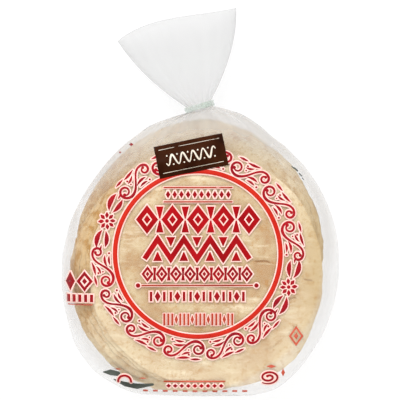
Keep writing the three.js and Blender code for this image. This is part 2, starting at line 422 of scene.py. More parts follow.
def clear_film(colours):
    """Blown polyethylene film: clear, glossy and soft. It has a faint milky veil, which is
    stronger where the film is gathered and where it is seen edge on. Part of that veil is painted
    light: a painted sheen in the gathers, and painted shade beside the stack and along the fan."""
    material, tree, place = new_material("Polyethylene Film")
    wrinkle = add_node(tree, "ShaderNodeTexNoise", (place, 1 / (9 * MM), 1.5, 0.5))
    bump = add_node(tree, "ShaderNodeBump", {
        "Height": wrinkle, "Strength": 0.2, "Distance": 1 * MM})
    clear = add_node(tree, "ShaderNodeBsdfTransparent", (colours.film,))
    gloss = add_node(tree, "ShaderNodeBsdfAnisotropic", {
        "Color": (1, 1, 1, 1), "Roughness": 0.2, "Normal": bump})
    mirror = add_node(tree, "ShaderNodeFresnel", {"IOR": 1.4, "Normal": bump})
    # Only the face that looks away from the plastic is a mirror, so no light is caught
    # between the two faces of a sheet. The milky fan has no mirror.
    inside = add_node(tree, "ShaderNodeNewGeometry").outputs["Backfacing"]
    mirror = add_node(tree, "ShaderNodeMapRange", (inside, 0, 1, mirror, 0))
    # Milkiness, partly painted light: a sheen in the gathers, and shade beside the stack and along
    # the fan.
    milk_and_painted_light = add_node(tree, "ShaderNodeAttribute", attribute_name="milk_and_painted_light").outputs["Fac"]
    shine = add_node(tree, "ShaderNodeMapRange", (milk_and_painted_light, 1, FAN_MILK[0], mirror, 0))
    sheet = add_node(tree, "ShaderNodeMixShader", (shine, clear, gloss))
    front = add_node(tree, "ShaderNodeBsdfDiffuse", (colours.veil,))
    behind = add_node(tree, "ShaderNodeBsdfTranslucent", (colours.veil,))
    veil = add_node(tree, "ShaderNodeMixShader", (0.5, front, behind))
    facing = add_node(tree, "ShaderNodeLayerWeight", {"Blend": 0.25}).outputs["Facing"]
    haze = add_node(tree, "ShaderNodeMapRange", (facing, 0, 1, *HAZE))
    haze = add_node(tree, "ShaderNodeMath", (milk_and_painted_light, GATHER_HAZE, haze), operation="MULTIPLY_ADD")
    film = add_node(tree, "ShaderNodeMixShader", (haze, sheet, veil))
    return finish_material(material, film)


def baked_masa(colours):
    """Baked white corn dough: dry and matte, cream with toasted freckles, and browner at the
    rim, with the fine pebbled skin of a griddle-baked flatbread. Painted light makes it paler
    towards the rim, and painted shade darkens its left and right sides and its cracks."""
    material, tree, place = new_material("Baked Corn Masa")
    drawn_out = add_node(tree, "ShaderNodeMapping", {
        "Vector": place, "Rotation": (0, 0, 0.3), "Scale": (0.35, 1.2, 1)})
    cloud, mottle, grain, streak = (
        add_node(tree, "ShaderNodeTexNoise", (spot, 1 / (size * MM), detail, roughness))
        for spot, size, detail, roughness in (
            (place, 19, 4, 0.6), (place, 5, 4, 0.65), (place, 1.4, 2, 0.5),
            (drawn_out, 6, 3, 0.6)))
    rim, tortilla, crack = (
        add_node(tree, "ShaderNodeAttribute", attribute_name=name).outputs["Fac"]
        for name in ("rim", "tortilla", "crack"))
    # Towards the left the tortillas are darker and more golden: painted shade, where the light falls
    # off at that side of the pile.
    leftward = add_node(tree, "ShaderNodeSeparateXYZ", (add_node(
        tree, "ShaderNodeMapping", {"Vector": place, "Rotation": (0, 0, math.radians(-165))}),))
    rightward = add_node(tree, "ShaderNodeSeparateXYZ", (place,))
    tone = layered(tree, colours.masa_light, (
        (colours.masa, (cloud, 0.4, 0.62)),
        (srgb("#E2D1AF"), (rim, 0.6, 0.88, 0, 0.65)),  # painted light: paler towards the rim, lifting the shade there
        (srgb("#E8DABC"), (streak, 0.54, 0.72, 0, 0.75)),  # a dusting of masa flour
        (colours.toast, (mottle, 0.54, 0.76, 0, 0.75)),  # freckles
        (colours.toast, (grain, 0.55, 0.8, 0, 0.6)),  # specks
        (srgb("#9C6A2C"), (rim, 0.88, 0.97), (mottle, 0.45, 0.57, 0, 0.95),
         (leftward, 33 * MM, 45 * MM, 0.15)),  # toasted blotches on the rim, made strongest on the left by painted shade
        (srgb("#BC9048"), (leftward, 33 * MM, 42 * MM, 0, 0.55),
         (tortilla, TORTILLA_COUNT - 1, TORTILLA_COUNT - 2)),  # painted shade: golden on the left of the tortillas below the top one
        (srgb("#B0925A"), (rightward, 46 * MM, 57 * MM, 0, 0.5)),  # painted shade: duller on the right, where the edges bend away from the light
        (srgb("#7A4C14"), (crack, 0, 1)),  # painted shade in the cracks
    ))
    relief = add_node(tree, "ShaderNodeMath", (grain, mottle), operation="ADD")
    bump = add_node(tree, "ShaderNodeBump", {
        "Height": relief, "Strength": 0.6, "Distance": 0.35 * MM})
    skin = add_node(tree, "ShaderNodeBsdfPrincipled", {
        "Base Color": tone, "Roughness": 0.85, "Specular IOR Level": 0.25, "Normal": bump})
    return finish_material(material, skin)


# Each ink: its tone, as a hex colour or the name of a setting, the tone that it wavers to, its
# slot and its gloss.
INKS = {
    "Pale Flexo Ink": ("halo", "#F4C8BC", "pale_ink", 0.08),
    "Red Flexo Ink": ("ring", "#B82216", "red_ink", 0.08),
    "Crimson Flexo Ink": ("wreath", "#A2141E", "red_ink", 0.08),
    "Deep Red Flexo Ink": ("rows", "#A40A12", "red_ink", 0.08),
    "Crimson Row Ink": ("#820F18", "#941118", "red_ink", 0.08),
    "Coral Flexo Ink": ("coral", "#A43C2A", "coral_ink", 0.08),
    "Brown Flexo Ink": ("label", "#240D04", "brown_ink", 0.02),
    "Cream Label Ink": ("#E9DFD0", "#CFC2AE", "pale_ink", 0.08),
    "Crimson Edge Ink": ("wreath", "#9E1218", "red_ink", 0.08),
    "Coral Edge Ink": ("coral", "#C8604C", "coral_ink", 0.08),
    "Slate Edge Ink": ("#5A5F58", "#3E423C", "brown_ink", 0.08),
}


def ink(name):
    """Flexographic ink on film: solid colour, a little uneven, and almost without gloss. It
    comes with its slot."""
    tone, darker, slot, gloss = INKS[name]
    if tone.startswith("#"):
        light = srgb(tone)
    else:
        light = getattr(bpy.context.scene.tortilla_colours, tone)
    material, tree, place = new_material(name)
    cloud = add_node(tree, "ShaderNodeTexNoise", (place, 1 / (12 * MM), 2, 0.5))
    colour = layered(tree, light, ((srgb(darker), (cloud, 0.35, 0.65)),))
    printed = add_node(tree, "ShaderNodeBsdfPrincipled", {
        "Base Color": colour, "Roughness": 0.35, "Specular IOR Level": gloss})
    return finish_material(material, printed), slot


def clear_tape(colours):
    """Polypropylene packing tape: greenish, half clear and satin, with fine creases."""
    material, tree, place = new_material("Polypropylene Tape")
    crease = add_node(tree, "ShaderNodeTexNoise", (place, 1 / (2 * MM), 3, 0.6))
    bump = add_node(tree, "ShaderNodeBump", {
        "Height": crease, "Strength": 0.4, "Distance": 0.3 * MM})
    shade = layered(tree, colours.tape, ((srgb("#A6B8AC"), (crease, 0, 1)),))
    body = add_node(tree, "ShaderNodeBsdfPrincipled", {
        "Base Color": shade, "Roughness": 0.3, "Alpha": 0.22, "IOR": 1.5, "Normal": bump})
    return finish_material(material, body)


def opal_acrylic():
    """Opal acrylic of a light table: white, satin and evenly lit from behind."""
    material, tree, place = new_material("Opal Acrylic")
    satin = add_node(tree, "ShaderNodeTexNoise", (place, 1 / (3 * MM), 2))
    bump = add_node(tree, "ShaderNodeBump", {
        "Height": satin, "Strength": 0.05, "Distance": 0.1 * MM})
    sheet = add_node(tree, "ShaderNodeBsdfPrincipled", {
        "Base Color": srgb("#6E6E6E"), "Roughness": 0.9, "Specular IOR Level": 0.1,
        "Emission Color": (1, 1, 1, 1), "Emission Strength": 0.85, "Normal": bump})
    return finish_material(material, sheet)


# ---- meshes and pieces

def new_mesh(name, points_mm, faces):
    mesh = bpy.data.meshes.new(name)
    mesh.from_pydata((np.asarray(points_mm) * MM).tolist(), [], faces)
    mesh.update()
    return mesh


def read_points(mesh):
    """The x, y and z of a mesh's points, in mm."""
    points = np.empty(len(mesh.vertices) * 3)
    mesh.vertices.foreach_get("co", points)
    return points.reshape(-1, 3).T / MM


def write_points(mesh, x, y, z):
    mesh.vertices.foreach_set("co", (np.column_stack((x, y, z)) * MM).ravel())
    mesh.update()


def new_piece(name, mesh, material, slot, replaced=(), wall=0, outwards=1):
    """An object at the origin that rides on the bag, smooth and in its material, and given a
    wall of so many metres: outwards of its mesh, or inwards with -1."""
    old = bpy.data.objects.get(name)
    if old:
        bpy.data.objects.remove(old)
    piece = bpy.data.objects.new(name, mesh)
    bpy.context.scene.collection.objects.link(piece)
    mesh.materials.clear()
    mesh.materials.append(material)
    mesh.polygons.foreach_set("use_smooth", [True] * len(mesh.polygons))
    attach(piece, "root")
    if replaced:
        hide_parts(*replaced)
    if wall:
        thicken = piece.modifiers.new("Wall", "SOLIDIFY")
        thicken.thickness = wall
        thicken.offset = outwards


def run_nodes(tree, values, mesh=None):
    """The plain mesh that the tree makes out of mesh, with these values for its inputs."""
    source = bpy.data.objects.new("source", mesh or bpy.data.meshes.new("source"))
    bpy.context.scene.collection.objects.link(source)
    modifier = source.modifiers.new("Nodes", "NODES")
    modifier.node_group = tree
    for item in tree.interface.items_tree:
        if item.in_out == "INPUT" and item.name in values:
            modifier[item.identifier] = values[item.name]
    depsgraph = bpy.context.evaluated_depsgraph_get()
    made = bpy.data.meshes.new_from_object(
        source.evaluated_get(depsgraph), preserve_all_data_layers=True, depsgraph=depsgraph)
    bpy.data.objects.remove(source)
    return made


def new_tree(name, **sockets):
    """A Geometry Nodes tree and its inputs. Their names are listed by kind, and the mesh that
    the tree works on comes first."""
    tree = bpy.data.node_groups.new(name, "GeometryNodeTree")
    for kind, labels in sockets.items():
        for label in labels.split(", "):
            tree.interface.new_socket(name=label, in_out="INPUT", socket_type="NodeSocket" + kind)
    tree.interface.new_socket(name="Geometry", in_out="OUTPUT", socket_type="NodeSocketGeometry")
    return tree, add_node(tree, "NodeGroupInput").outputs


def finish_tree(tree, whole, material):
    """Sets the material on what the tree has made, as its last step."""
    dressed = add_node(tree, "GeometryNodeSetMaterial", {"Geometry": whole, "Material": material})
    add_node(tree, "NodeGroupOutput", (dressed,))
    return tree


# ---- film

def film_grid():
    """Points of the film, in rows from the bottom end to the mouth."""
    phi = (np.arange(FILM_COLUMNS) + 0.5) / FILM_COLUMNS * 2 * math.pi
    shares = np.arange(BODY_ROWS) / BODY_ROWS
    spaced = 0.5 * shares + 0.25 * (1 - np.cos(math.pi * shares))
    rows = [body_row(share, phi) for share in spaced]
    rows += [neck_row(mix(NECK_START, NECK_END, i / NECK_ROWS), phi) for i in range(NECK_ROWS + 1)]
    rows += [fan_row(i / FAN_ROWS, phi) for i in range(1, FAN_ROWS + 1)]
    return np.array(rows)


def grid_normals(grid):
    around = np.roll(grid, -1, 1) - np.roll(grid, 1, 1)
    along = np.gradient(grid, axis=0)
    normals = np.cross(around, along)
    return normals / np.maximum(np.linalg.norm(normals, axis=2, keepdims=True), 1e-9)


# Creases that stand up from the film on top: ends in view pixels, width and height in mm.
CREASES = (
    ((236, 118), (300, 168), 1.6, 0.8),
    ((258, 124), (322, 216), 1.4, 0.7),
    ((168, 128), (112, 176), 1.5, 0.7),
    ((150, 134), (88, 205), 1.3, 0.6),
    ((322, 300), (262, 384), 1.5, 0.9),
    ((332, 262), (296, 356), 1.2, 0.6),
    ((72, 250), (96, 352), 1.4, 0.7),
    ((84, 320), (140, 384), 1.4, 0.8),
)


def creases(x, y):
    """Soft folds drawn tight across the top of the film."""
    total = 0
    for *ends, width, height in CREASES:
        across, strength = wavering_line(x, y, ends, sway=1.5, pitch=9, parts=3)
        total = total + height * strength * np.exp(-(across / width) ** 2)
    return total


def wrinkled(grid, depth):
    """The film with its slack: soft folds down the sides and fine ones everywhere."""
    x, y, z = np.moveaxis(grid, 2, 0)
    angle, radius = polar(x, y)
    is_top = z > RIM_HEIGHT
    reach = np.where(is_top, wall(angle, True)[0], wall(angle, False)[0])
    side = ramp(radius - reach, *SIDE_START)
    on_body = ramp(neck_edge(1, NECK_START)[1] - y, *NECK_CALM)
    normals = grid_normals(grid)
    folds = ripples(angle * SIDE_FOLD_RADIUS, z * SIDE_FOLD_RISE, SIDE_FOLD, seed=3)
    height = side * (SIDE_FOLD_HEIGHT * folds - SIDE_SINK)
    height = height + mix(*FINE_HEIGHTS, side) * ripples(x, y + z, FINE_FOLD, seed=5)
    height = depth * height + np.where(is_top, creases(x, y), 0) * side
    height = height * on_body * mix(UPRIGHT_FOLDS, 1, np.abs(normals[:, :, 2]))
    moved = grid + normals * height[:, :, None]
    moved[:, :, 2] = np.maximum(moved[:, :, 2], FILM_REST)
    resting = grid[:, :, 2] < RESTING_BELOW
    moved[resting] = grid[resting]
    return moved


def milkiness(points):
    """How milky the film is at its points: in the gathers, in the fan and beside the stack."""
    angle, radius = polar(*points[:, :2].T)
    reach = disc_reach(TOP_TORTILLA, TORTILLA_RADIUS, angle)
    # Partly a painted sheen: the gathers are milkiest on the side of the neck.
    towards_neck = ramp(np.cos(angle - math.radians(GATHER_MIDDLE)), *GATHER_SPREAD)
    gathered = ramp(radius - reach, *GATHERS) * towards_neck
    fan = gathered[-FILM_COLUMNS * (FAN_ROWS + 1):].reshape(-1, FILM_COLUMNS)
    # Painted light and shade: the fan grows milkier towards its bright open end and less so at its
    # shaded neck.
    fan *= mix(*FAN_MILK, np.linspace(0, 1, len(fan)))[:, None]
    stack = np.max([disc_reach(centre, TORTILLA_RADIUS, angle) for centre in STACK_PATH], axis=0)
    # Painted shade: milkier, greyer film next to the widest of the stack.
    beside = ramp(radius - stack, *BESIDE_INNER) * ramp(stack - radius, *BESIDE_OUTER)
    return np.maximum(gathered, BESIDE_SHADE * beside)


class TORTILLAS_OT_film(bpy.types.Operator):
    """Make the clear film: the round bag, its gathered neck and its open, fanned end"""

    bl_idname = "tortillas.film"
    bl_label = "Film Bag"

    def execute(self, context):
        sizes = context.scene.tortilla_sizes
        grid = wrinkled(film_grid(), sizes.wrinkle / MM)
        pole = np.append(outline_point(-math.pi / 2), grid[0, :, 2].mean())
        pole[1] -= END_BULGE
        points = np.vstack((pole, grid.reshape(-1, 3)))
        faces = []
        for i in range(FILM_COLUMNS):
            k = (i + 1) % FILM_COLUMNS
            faces.append((0, 1 + i, 1 + k))
            for near in range(1, len(points) - FILM_COLUMNS, FILM_COLUMNS):
                far = near + FILM_COLUMNS
                faces.append((near + i, far + i, far + k, near + k))
        mesh = new_mesh("bag_film", points, faces)
        # Its milkiness is partly painted light: a sheen in the gathers, and shade beside the stack
        # and along the fan.
        milk_and_painted_light = mesh.attributes.new("milk_and_painted_light", "FLOAT", "POINT")
        milk_and_painted_light.data.foreach_set("value", milkiness(points))
        new_piece("bag_film", mesh, clear_film(context.scene.tortilla_colours), "clear_film",
                  ["bag"], wall=sizes.film, outwards=-1)
        return {"FINISHED"}


# ---- tortillas

RIM_SQUARENESS = 0.4  # 1 is round, and less is squarer
PATTERN_STEP = 7.3  # from the unevenness of one tortilla to that of the next
CRUMPLE_FALL = 7  # how fast the crumpling fades inwards
BLISTER_SIZE = 6
BLISTER_HEIGHT = 0.12


def pile_tree():
    """Uneven round discs, piled along a line of centres, each turned its own way."""
    tree, given = new_tree(
        "Tortilla Pile", Geometry="Centres", Int="Count, First, Whole Count, Segments, Rings, Seed",
        Float="Radius, Thickness, Pitch, Scatter, Unevenness, Crumple, Flatness, Browning",
        Material="Material")
    position = add_node(tree, "GeometryNodeInputPosition")

    # One disc: a grid bent round the axis, from the middle underneath to the middle on top.
    grid = add_node(tree, "GeometryNodeMeshGrid", (1.0, 1.0, given["Segments"], given["Rings"]))
    spot = add_node(tree, "ShaderNodeSeparateXYZ", (position,)).outputs
    climb = add_node(tree, "ShaderNodeMath", (spot[1], math.pi), operation="MULTIPLY")
    out = chained(tree, "ShaderNodeMath", climb, ("COSINE",), ("MAXIMUM", 0.0),
                  ("POWER", given["Flatness"]))
    half = add_node(tree, "ShaderNodeMath", (given["Thickness"], 0.5), operation="MULTIPLY")
    lift = add_node(tree, "ShaderNodeMath", (climb,), operation="SINE")
    side = add_node(tree, "ShaderNodeMath", (lift,), operation="SIGN")
    height = chained(tree, "ShaderNodeMath", lift, ("ABSOLUTE",), ("POWER", RIM_SQUARENESS),
                     ("MULTIPLY", side), ("MULTIPLY", half))
    radius = add_node(tree, "ShaderNodeMath", (out, given["Radius"]), operation="MULTIPLY")
    place = [
        chained(tree, "ShaderNodeMath", spot[0], ("MULTIPLY", 2 * math.pi), (wave,),
                ("MULTIPLY", radius))
        for wave in ("COSINE", "SINE")]
    bent = add_node(tree, "ShaderNodeCombineXYZ", (*place, height))
    browning = add_node(tree, "ShaderNodeMath", (out, given["Browning"]), operation="MULTIPLY")
    marked = add_node(tree, "GeometryNodeStoreNamedAttribute", {
        "Geometry": grid, "Name": "rim", "Value": browning})
    disc = add_node(tree, "GeometryNodeSetPosition", {"Geometry": marked, "Position": bent})
    disc = add_node(tree, "GeometryNodeMergeByDistance", {
        "Geometry": disc, "Distance": 0.01 * MM})

    # One point for each tortilla, along the line through the given centres.
    line = add_node(tree, "GeometryNodeMeshLine", {"Count": given["Count"], "Offset": (0, 0, 0)})
    index = add_node(tree, "GeometryNodeInputIndex")
    index = add_node(tree, "ShaderNodeMath", (index, given["First"]), operation="ADD")
    last = add_node(tree, "ShaderNodeMath", (given["Whole Count"], 1.0), operation="SUBTRACT")
    spans = add_node(tree, "GeometryNodeAttributeDomainSize", (given["Centres"],))
    spans = add_node(tree, "ShaderNodeMath", (spans, 1.0), operation="SUBTRACT")
    along = chained(tree, "ShaderNodeMath", index, ("DIVIDE", last), ("MULTIPLY", spans))
    below, above, between = (
        add_node(tree, "ShaderNodeMath", (along,), operation=part)
        for part in ("FLOOR", "CEIL", "FRACT"))
    lower, upper = (
        add_node(tree, "GeometryNodeSampleIndex", {
            "Geometry": given["Centres"], "Value": position, "Index": end},
            data_type="FLOAT_VECTOR")
        for end in (below, above))
    centre = add_node(tree, "ShaderNodeMix", (between, lower, upper), data_type="VECTOR")
    rise = add_node(tree, "ShaderNodeMath", (index, given["Pitch"], half),
                    operation="MULTIPLY_ADD")
    rise = add_node(tree, "ShaderNodeCombineXYZ", {"Z": rise})
    stray, spin = (
        add_node(tree, "FunctionNodeRandomValue", {
            "Min": least, "Max": most, "ID": index, "Seed": given["Seed"]},
            data_type="FLOAT_VECTOR")
        for least, most in (((-1, -1, 0), (1, 1, 0)), ((0, 0, 0), (0, 0, 2 * math.pi))))
    stray = add_node(tree, "ShaderNodeVectorMath", (stray, given["Scatter"]), operation="SCALE")
    placed = chained(tree, "ShaderNodeVectorMath", centre, ("ADD", rise), ("ADD", stray))
    points = add_node(tree, "GeometryNodeSetPosition", {"Geometry": line, "Position": placed})
    piled = add_node(tree, "GeometryNodeInstanceOnPoints", {
        "Points": points, "Instance": disc, "Rotation": spin})
    piled = add_node(tree, "GeometryNodeStoreNamedAttribute", {
        "Geometry": piled, "Name": "tortilla", "Value": index}, domain="INSTANCE")
    whole = add_node(tree, "GeometryNodeRealizeInstances", (piled,))

    # Each outline wanders in and out by its own pattern, and each rim is crumpled.
    tortilla, rim = (
        add_node(tree, "GeometryNodeInputNamedAttribute", {"Name": name})
        for name in ("tortilla", "rim"))
    own = add_node(tree, "ShaderNodeMath", (tortilla, PATTERN_STEP), operation="MULTIPLY")
    crumple = chained(tree, "ShaderNodeMath", rim, ("POWER", CRUMPLE_FALL),
                      ("MULTIPLY", given["Crumple"]))
    for size, detail, roughness, up, most in (
            (24, 4, 0.62, 0.08, given["Unevenness"]), (5, 2, 0.5, 1, crumple)):
        noise = add_node(tree, "ShaderNodeTexNoise", (
            position, own, 1 / (size * MM), detail, roughness), noise_dimensions="4D")
        shift = chained(tree, "ShaderNodeVectorMath", noise.outputs["Color"],
                        ("SUBTRACT", (0.5, 0.5, 0.5)), ("MULTIPLY", (1, 1, up)), ("SCALE", most))
        whole = add_node(tree, "GeometryNodeSetPosition", {"Geometry": whole, "Offset": shift})
    return finish_tree(tree, whole, given["Material"])


def settle(mesh, blister):
    """Bends the pile down under the film, keeps it inside the bag and blisters its skin."""
    x, y, z = read_points(mesh)
    angle, radius = polar(x, y)
    corner = np.exp(-((np.degrees(angle) - CORNER) / CORNER_WIDTH) ** 2)
    pushed = ramp(radius, CORNER_FROM * TORTILLA_RADIUS, TORTILLA_RADIUS)
    radius = radius + CORNER_PUSH * corner * pushed
    x, y = off_middle(angle, radius)
    room = body_height(x, y, True) - FILM_SLACK
    z = z * room / (TORTILLA_COUNT * TORTILLA_PITCH)
    z = np.maximum(z + blister * ripples(x, y, BLISTER_SIZE, seed=11), REST_GAP)
    most = body_reach(angle, z) - SIDE_GAP
    squeezed = most - SQUEEZE * np.exp(-(radius - most + SQUEEZE) / SQUEEZE)
    radius = np.where(radius > most - SQUEEZE, squeezed, radius)
    write_points(mesh, *off_middle(angle, radius), z)


# Cracks in the skin of the top tortilla: ends in view pixels, half width and depth in mm.
CRACKS = (
    ((252, 259), (272, 263), 0.4, 0.4),
    ((286, 301), (297, 297), 0.4, 0.35),
    ((302, 277), (314, 281), 0.35, 0.25),
    ((104, 262), (113, 286), 0.35, 0.2),
    ((262, 352), (283, 340), 0.4, 0.15),
    ((128, 336), (150, 350), 0.4, 0.15),
)

# The ridge beside each crack, in terms of the crack's own depth and width.
RIDGE_HEIGHT = 0.6
RIDGE_OFFSET = 2.2
RIDGE_WIDTH = 1.5
CRACK_SHADE = 2.2  # a crack's painted shade is full from 1 mm over this
FACE_LEVELS = (-6, -5)  # over the height of the stack: only the face cracks


def crack(mesh):
    """Sinks the cracks into the top of the tortilla, each with a low ridge on one side, and
    keeps their depth for the painted shade in them.
    """
    x, y, z = read_points(mesh)
    on_face = ramp(z - STACK_HEIGHT, *FACE_LEVELS)
    sunk, raised = np.zeros_like(z), np.zeros_like(z)
    for *ends, width, depth in CRACKS:
        across, strength = wavering_line(x, y, ends, sway=0.5, pitch=1.7, parts=4)
        sunk += depth * strength * np.exp(-(across / width) ** 2)
        beside = (across + RIDGE_OFFSET * width) / width / RIDGE_WIDTH
        raised += RIDGE_HEIGHT * depth * strength * np.exp(-beside ** 2)
    write_points(mesh, x, y, z + on_face * (raised - sunk))
    # Painted shade: the deeper a crack, the darker it is drawn.
    marks = mesh.attributes.new("crack", "FLOAT", "POINT")
    marks.data.foreach_set("value", np.clip(sunk * CRACK_SHADE, 0, 1) * on_face)


# How finely each is drawn, how flat its faces stay towards the rim, and how rough its rim is.
PILE_LOOK = {"Segments": 181, "Rings": 21, "Flatness": 0.4, "Scatter": 0.9 * MM,
             "Crumple": 3.5 * MM, "Browning": 1.0}
TOP_LOOK = {"Segments": 481, "Rings": 197, "Flatness": 0.7, "Scatter": 0.0,
            "Crumple": 1.2 * MM, "Browning": 0.9}


class TORTILLAS_OT_stack(bpy.types.Operator):
    """Make the stack of tortillas, slumped towards the neck, with a finer one on top"""

    bl_idname = "tortillas.stack"
    bl_label = "Tortillas"

    def execute(self, context):
        sizes = context.scene.tortilla_sizes
        material = baked_masa(context.scene.tortilla_colours)
        tree = pile_tree()
        common = {
            "Whole Count": sizes.count, "Radius": sizes.diameter / 2, "Pitch": sizes.pitch,
            "Thickness": TORTILLA_THICKNESS * MM, "Unevenness": 5 * MM, "Seed": 4,
            "Material": material}
        centres = new_mesh("centres", [(*centre, 0) for centre in STACK_PATH], [])
        pile = run_nodes(tree, {**common, **PILE_LOOK, "Count": sizes.count - 1, "First": 0}, centres)
        settle(pile, blister=0)
        new_piece("tortilla_pile", pile, material, "tortilla", ["bag"])
        top = run_nodes(tree, {**common, **TOP_LOOK, "Count": 1, "First": sizes.count - 1}, centres)
        settle(top, blister=BLISTER_HEIGHT)
        crack(top)
        new_piece("top_tortilla", top, material, "tortilla", ["bag"])
        return {"FINISHED"}


# ---- neck band

TAPE_TURNS = 1.12
TAPE_WALL = 0.15
TAPE_START = 40  # degrees round the neck
TAPE_END_LIFT = 1.5  # mm per turn that its loose end stands off
TAPE_WOBBLE = 0.12
TAPE_LAYER = 0.2  # of its thickness that each turn adds
TAPE_RUFFLE = 0.02  # share of its size by which its edges waver
TAPE_MESH = (150, 9)  # points round the neck and along it


class TORTILLAS_OT_band(bpy.types.Operator):
    """Make the band of tape that holds the neck, wound past its own start"""

    bl_idname = "tortillas.band"
    bl_label = "Neck Band"

    def execute(self, context):
        around, along = TAPE_MESH
        wind = np.linspace(0, TAPE_TURNS, around)
        angle = math.radians(TAPE_START) + wind * 2 * math.pi
        out = (wind - 1).clip(0, 1) * TAPE_END_LIFT + TAPE_THICKNESS * TAPE_LAYER * wind
        width, depth = (
            size / 2 - TAPE_THICKNESS + out + TAPE_WOBBLE * ripples(angle * 3, shift, 1.2, seed=2)
            for size, shift in ((BAND_WIDTH, 0), (BAND_DEPTH, 9)))
        points = []
        for i, share in enumerate(np.linspace(-0.5, 0.5, along)):
            edge = 1 + TAPE_RUFFLE * np.sin(angle * 5 + i)
            centre = np.array(BAND_CENTRE) + share * BAND_LENGTH * ALONG
            flat = centre + (width * edge * np.cos(angle))[:, None] * ACROSS
            points.append(np.column_stack((flat, BAND_HEIGHT + depth * edge * np.sin(angle))))
        faces = []
        for near in range(0, (along - 1) * around, around):
            for i in range(near, near + around - 1):
                faces.append((i, i + around, i + around + 1, i + 1))
        new_piece("neck_tape", new_mesh("neck_tape", np.vstack(points), faces),
                  clear_tape(context.scene.tortilla_colours), "band_tape", ["neck_band"],
                  wall=TAPE_WALL * MM)
        return {"FINISHED"}


# ---- print

PRINT_STEP = 0.8  # mm between points of print, fine enough to follow the film
HALO = 0.62  # mm of pale ink round each red shape
FINE_HALO = 0.6 * HALO
INK_WALL = 0.03
SLATE_LIFT = 0.03  # mm that each layer of print lies over the film
FINE_HALO_LIFT = 0.04
HALO_LIFT = 0.06
WREATH_LIFT = 0.16
INK_LIFT = 0.18
LABEL_LIFT = 0.3
LABEL_INK_LIFT = 0.4
RAY_START = 0.2  # m: well above the bag
CURL_STEP = 0.35  # mm between the points of a curl


def ways(turn):
    """Unit steps in these directions, in radians."""
    return np.column_stack((np.cos(turn), np.sin(turn)))


def walk(start, steps):
    """The smooth path of these steps."""
    return np.array(start) + np.vstack(((0, 0), np.cumsum((steps[1:] + steps[:-1]) / 2, axis=0)))


def stroke(path, widths, grow=0.0, closed=False, round_ends=True):
    """Flat polygons that cover a stroke along a path. Its widths are spread along it, and grow
    is added all round. Corners are mitred, and a bend never folds over its own inner side."""
    path = np.asarray(path, float)
    way = np.diff(path, axis=0)
    steps = np.hypot(*way.T)
    way = way / steps[:, None]
    lengths = np.concatenate(((0,), np.cumsum(steps)))
    half = np.interp(lengths, np.linspace(0, lengths[-1], len(widths)), widths) / 2 + grow
    before = np.vstack((way[-1:] if closed else way[:1], way))
    after = np.vstack((way, way[:1] if closed else way[-1:]))
    turn = before[:, 0] * after[:, 1] - before[:, 1] * after[:, 0]
    across = np.column_stack((-before[:, 1] - after[:, 1], before[:, 0] + after[:, 0]))
    across = across / (1 + (before * after).sum(axis=1))[:, None]
    step = np.minimum(np.append(steps[:1], steps), np.append(steps, steps[-1:]))
    room = 0.9 * step / np.maximum(np.abs(turn), 1e-6)
    left = np.where(turn > 0, np.minimum(half, room), half)[:, None]
    right = np.where(turn < 0, np.minimum(half, room), half)[:, None]
    line = path.copy()
    if not (closed or round_ends):
        line[0] -= grow * way[0]
        line[-1] += grow * way[-1]
    one, other = line + across * left, line - across * right
    pieces = [np.array((other[i], other[i + 1], one[i + 1], one[i])) for i in range(len(steps))]
    if round_ends and not closed:
        bow = np.linspace(-math.pi / 2, math.pi / 2, 9)[:, None]
        for end, out in ((0, -way[0]), (-1, way[-1])):
            side = np.array((-out[1], out[0]))
            pieces.append(line[end] + half[end] * (out * np.cos(bow) + side * np.sin(bow)))
    return pieces


def dot(centre, width, grow=0.0):
    return [np.asarray(centre) + (width / 2 + grow) * ways(np.linspace(0, 2 * math.pi, 15)[:-1])]


def leaf(start, heading, length, width, bend, grow=0.0):
    """A bent almond leaf; its heading is in degrees and its bend in radians."""
    turn = math.radians(heading) + bend * (np.linspace(0, 1, 12) - 0.2)
    path = walk(start, ways(turn) * length / (len(turn) - 1))
    return stroke(path, (0.15, 0.7 * width, width, 0.75 * width, 0.1), grow)


def volute(start, heading, tightness, turning):
    """The path of a curl: ever tighter, until it has turned by this many radians."""
    along = np.arange(0, math.sqrt(2 * turning / tightness), CURL_STEP)
    return walk(start, ways(math.radians(heading) + tightness * along ** 2 / 2) * CURL_STEP)


def flat_mesh(name, pieces):
    """One flat mesh of all that the pieces cover, in triangles small enough to bend."""
    spots, faces = [], []
    for piece in pieces:
        x, y = piece.T
        anticlockwise = np.sum(x * np.roll(y, -1) - y * np.roll(x, -1)) > 0
        faces.append(list(range(len(spots), len(spots) + len(piece))))
        spots.extend(piece if anticlockwise else piece[::-1])
    low, high = np.min(spots, axis=0), np.max(spots, axis=0)
    grid = np.meshgrid(*(np.arange(a, b, PRINT_STEP) for a, b in zip(low, high)))
    spots.extend(np.column_stack([axis.ravel() for axis in grid]))
    spots, _, faces, _, _, owners = delaunay_2d_cdt(
        [Vector(spot) for spot in spots], [], faces, 1, 1e-4)
    mesh = new_mesh(name, [(*spot, 0) for spot in spots],
                    [face for face, owner in zip(faces, owners) if owner])
    flat = bmesh.new()
    flat.from_mesh(mesh)
    bmesh.ops.delete(flat, geom=[v for v in flat.verts if not v.link_faces], context="VERTS")
    flat.to_mesh(mesh)
    flat.free()
    return mesh


